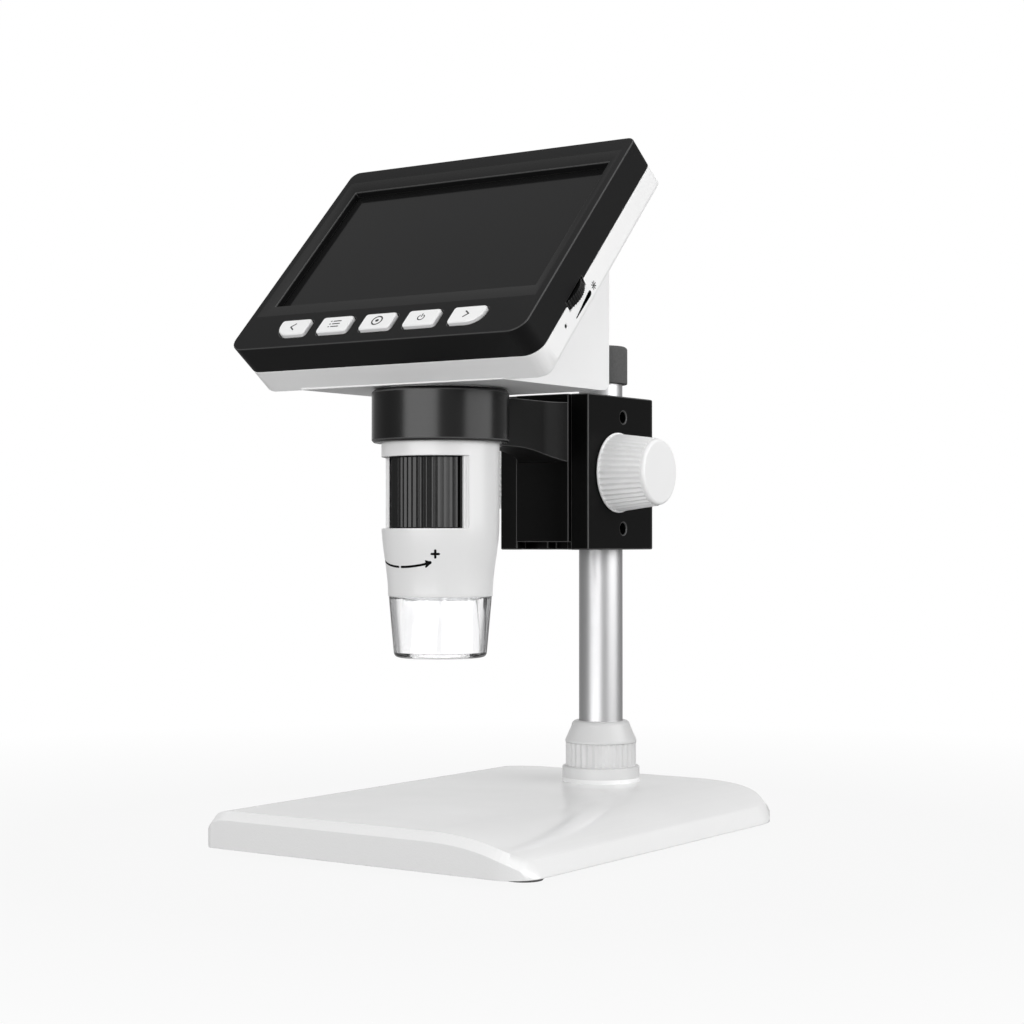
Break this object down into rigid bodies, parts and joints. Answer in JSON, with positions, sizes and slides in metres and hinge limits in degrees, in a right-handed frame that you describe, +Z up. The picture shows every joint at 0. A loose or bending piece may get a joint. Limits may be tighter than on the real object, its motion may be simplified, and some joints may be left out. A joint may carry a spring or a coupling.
{
  "type": "digital microscope",
  "caption": "Desk microscope: screen head with keys on a tube with a focus wheel and clear shield, on a rack-and-pinion post stand with a sloped base.",
  "frame": {"origin": "middle of the base, on the surface that it stands on", "axes": "+X to the user's right, +Y to the back, +Z up"},
  "size_m": [0.118, 0.162, 0.2183],
  "materials": {
    "base_white": "polished moulded plastic",
    "case_white": "fine satin moulding",
    "case_black": "fine satin moulding",
    "stand_black": "satin black anodised",
    "post_metal": "satin, drawn along the post",
    "cap_rubber": "textured",
    "foot_rubber": "matt",
    "steel": "machined",
    "plate_steel": "rolled",
    "knob_white": "satin, fluted",
    "key_white": "satin moulding with grey marks",
    "wheel_black": "fluted",
    "inner_black": "matt",
    "screen_glass": "smooth dark cover glass",
    "lens_glass": "coated",
    "shield_clear": "clear moulded plastic, lit from inside",
    "panel_metal": "stamped back of the panel",
    "board_green": "solder mask",
    "led_white": "white board with lamps",
    "battery_wrap": "film wrap",
    "screw_dark": "black oxide"
  },
  "bodies": {
    "base": {"base_cover": "base_white", "base_plate": "plate_steel", "base_screws": "screw_dark", "rubber_feet": "foot_rubber", "grip_sleeve": "inner_black"},
    "nut": {"collar_nut": "knob_white"},
    "post_body": {"post": "post_metal", "post_cap": "cap_rubber"},
    "block": {"stand_block": "stand_black", "post_set_screws": "screw_dark", "side_set_screws": "screw_dark"},
    "pinion": {"pinion_shaft": "steel", "right_knob": "knob_white", "left_knob": "knob_white"},
    "carriage_body": {"carriage": "stand_black", "rack": "steel", "rack_screws": "screw_dark", "clamp_arm": "stand_black", "arm_screws": "screw_dark"},
    "head": {"front_bezel": "case_black", "rear_housing": "case_white", "housing_screws": "screw_dark", "cover_glass": "screen_glass", "lcd_panel": "panel_metal", "main_board": "board_green", "board_screws": "screw_dark", "side_sockets": "steel", "key_switches": "inner_black", "battery": "battery_wrap", "dimmer_pot": "steel", "tube_shell": "case_white", "guide_sleeve": "inner_black", "sensor_board": "board_green", "led_ring": "led_white", "clear_shield": "shield_clear"},
    "focus": {"focus_wheel": "wheel_black"},
    "lens": {"lens_barrel": "inner_black", "objective_lens": "lens_glass"},
    "dimmer": {"brightness_wheel": "wheel_black"},
    "key_back_body": {"key_back": "key_white"},
    "key_menu_body": {"key_menu": "key_white"},
    "key_select_body": {"key_select": "key_white"},
    "key_power_body": {"key_power": "key_white"},
    "key_next_body": {"key_next": "key_white"}
  },
  "joints": [
    {"name": "nut_turn", "type": "hinge", "parent": "base", "child": "nut", "pos_m": [0, 0.0535, 0.02], "axis": [0, 0, 1], "range_deg": [0, 360]},
    {"name": "post_turn", "type": "hinge", "parent": "base", "child": "post_body", "pos_m": [0, 0.0535, 0.02], "axis": [0, 0, 1], "range_deg": [-90, 90]},
    {"name": "block_slide", "type": "slide", "parent": "post_body", "child": "block", "axis": [0, 0, 1], "range_m": [-0.025, 0.005]},
    {"name": "knob_turn", "type": "hinge", "parent": "block", "child": "pinion", "pos_m": [0, 0.0358, 0.1184], "axis": [1, 0, 0], "range_deg": [-185, 185]},
    {"name": "carriage_slide", "type": "slide", "parent": "block", "child": "carriage_body", "axis": [0, 0, 1], "range_m": [-0.018, 0.018]},
    {"name": "head_turn", "type": "hinge", "parent": "carriage_body", "child": "head", "pos_m": [0, -0.0392, 0.134], "axis": [0, 0, 1], "range_deg": [-60, 60]},
    {"name": "focus_turn", "type": "hinge", "parent": "head", "child": "focus", "pos_m": [0, -0.0392, 0.1105], "axis": [0, 0, 1], "range_deg": [-150, 150]},
    {"name": "lens_slide", "type": "slide", "parent": "head", "child": "lens", "axis": [0, 0, 1], "range_m": [-0.005, 0.005]},
    {"name": "dimmer_turn", "type": "hinge", "parent": "head", "child": "dimmer", "pos_m": [0.0465, -0.04743, 0.16725], "axis": [0, -0.7193, 0.6947], "range_deg": [-135, 135]},
    {"name": "back_press", "type": "slide", "parent": "head", "child": "key_back_body", "axis": [0, 0.7193, -0.6947], "range_m": [0, 0.0004], "stiffness_N_per_m": 600},
    {"name": "menu_press", "type": "slide", "parent": "head", "child": "key_menu_body", "axis": [0, 0.7193, -0.6947], "range_m": [0, 0.0004], "stiffness_N_per_m": 600},
    {"name": "select_press", "type": "slide", "parent": "head", "child": "key_select_body", "axis": [0, 0.7193, -0.6947], "range_m": [0, 0.0004], "stiffness_N_per_m": 600},
    {"name": "power_press", "type": "slide", "parent": "head", "child": "key_power_body", "axis": [0, 0.7193, -0.6947], "range_m": [0, 0.0004], "stiffness_N_per_m": 600},
    {"name": "next_press", "type": "slide", "parent": "head", "child": "key_next_body", "axis": [0, 0.7193, -0.6947], "range_m": [0, 0.0004], "stiffness_N_per_m": 600}
  ],
  "couplings": [
    {"joint": "knob_turn", "follows": "carriage_slide", "rad_per_m": -178.57},
    {"joint": "focus_turn", "follows": "lens_slide", "rad_per_m": 523.5}
  ]
}
